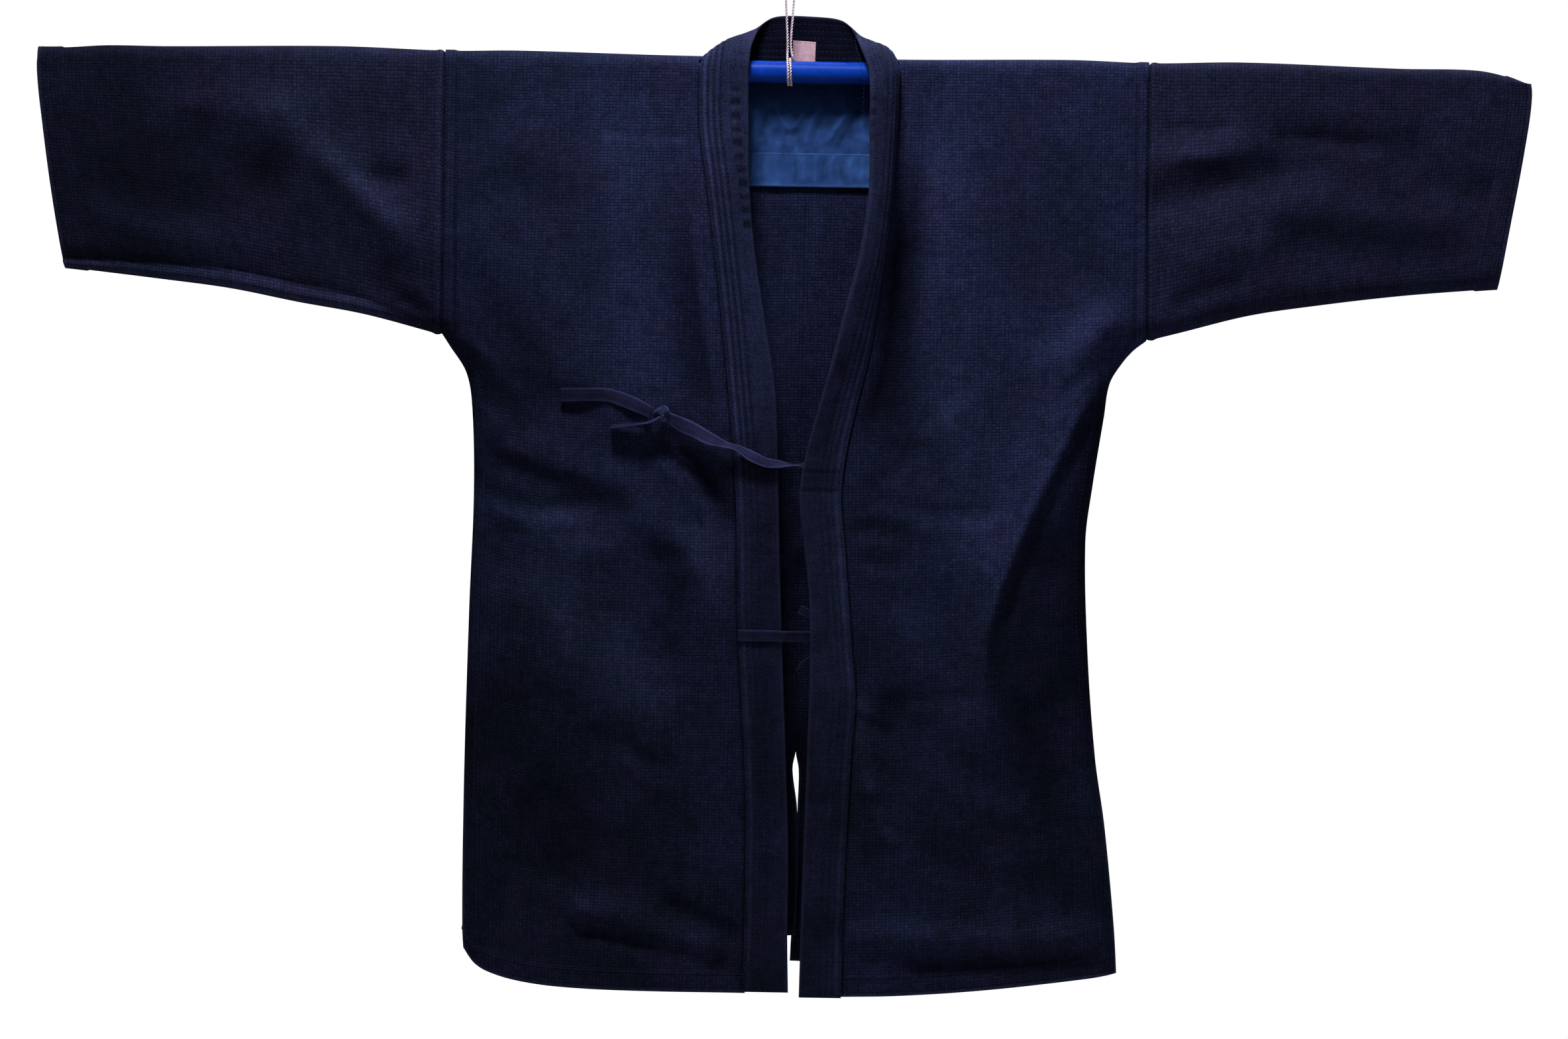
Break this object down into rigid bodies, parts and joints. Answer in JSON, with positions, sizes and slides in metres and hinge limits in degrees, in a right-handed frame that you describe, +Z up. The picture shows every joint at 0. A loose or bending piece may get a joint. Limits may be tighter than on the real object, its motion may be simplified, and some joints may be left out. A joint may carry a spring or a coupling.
{
  "type": "sashiko noragi jacket on a rod",
  "caption": "Straight-cut indigo sashiko jacket with a long collar band and ties, hung open by its sleeves on a round rod with a string loop.",
  "frame": {"origin": "inside the top of the string loop, where a hook holds it; the rod's axis is 80 mm below", "axes": "+Z up; +X along the rod towards the wearer's left sleeve; the garment's front faces -Y"},
  "size_m": [1.3195, 0.0725, 0.8981],
  "materials": {
    "sashiko_cloth": "dark indigo sashiko weave, matt",
    "collar_cloth": "dark indigo twill band, rows of stitching",
    "tie_cloth": "indigo cotton tape",
    "lining": "plain blue cotton",
    "label": "pale woven label, bare",
    "rod": "glossy blue coating",
    "string": "pale shiny twine"
  },
  "bodies": {
    "root": {"body_right": "sashiko_cloth", "body_left": "sashiko_cloth", "sleeve_right": "sashiko_cloth", "sleeve_left": "sashiko_cloth", "collar": "collar_cloth", "neck_lining": "lining", "neck_lining_band": "lining", "neck_label": "label", "chest_tie_right": "tie_cloth", "chest_tie_left": "tie_cloth", "inner_tie_right": "tie_cloth", "inner_tie_left": "tie_cloth", "rod": "rod", "hanging_string": "string"}
  },
  "joints": []
}
